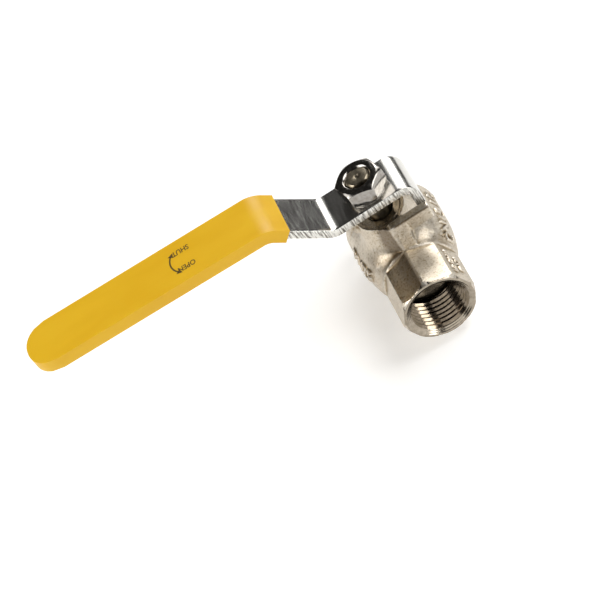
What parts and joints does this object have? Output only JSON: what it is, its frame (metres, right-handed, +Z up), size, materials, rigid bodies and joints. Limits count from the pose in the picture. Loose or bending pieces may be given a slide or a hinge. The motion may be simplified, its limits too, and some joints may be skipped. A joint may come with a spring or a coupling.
{
  "type": "lever ball valve",
  "caption": "Plated brass ball valve, threaded ports, with a cranked steel lever in a plastic sleeve that turns a quarter turn.",
  "frame": {"origin": "centre of the front port's thread mouth, on the pipe axis", "axes": "+Z up along the stem, -Y out of the front port along the pipe axis, +X away from the handle when the valve is shut"},
  "size_m": [0.1316, 0.0592, 0.0668],
  "materials": {
    "nickel_plated_brass": "nickel plated over a blasted forging",
    "nitrile_rubber": "moulded",
    "chrome_plate": "polished",
    "ptfe": "turned",
    "bare_brass": "turned",
    "turned_plated_brass": "turned and plated",
    "plated_steel": "polished and plated",
    "vinyl_sleeve": "dipped vinyl, satin gloss",
    "plated_nut_steel": "bright plated"
  },
  "bodies": {
    "valve_body": {"body": "nickel_plated_brass", "end_cap": "nickel_plated_brass", "end_cap_seal": "nitrile_rubber", "seat_ring_front": "ptfe", "seat_ring_rear": "ptfe", "stem_thrust_washer": "ptfe", "packing_ring_lower": "ptfe", "packing_ring_upper": "ptfe", "packing_follower": "bare_brass", "gland_nut": "turned_plated_brass"},
    "lever": {"lever_plate": "plated_steel", "lever_sleeve": "vinyl_sleeve", "lever_washer": "plated_steel", "lever_nut": "plated_nut_steel", "stem": "bare_brass", "stem_o_ring": "nitrile_rubber"},
    "ball": {"ball": "chrome_plate"}
  },
  "joints": [
    {"name": "lever_turn", "type": "hinge", "parent": "valve_body", "child": "lever", "pos_m": [0, 0.0297, 0], "axis": [0, 0, 1], "range_deg": [0, 90]},
    {"name": "ball_turn", "type": "hinge", "parent": "valve_body", "child": "ball", "pos_m": [0, 0.0297, 0], "axis": [0, 0, 1], "range_deg": [0, 90]}
  ],
  "couplings": [
    {"joint": "ball_turn", "follows": "lever_turn", "ratio": 1}
  ]
}
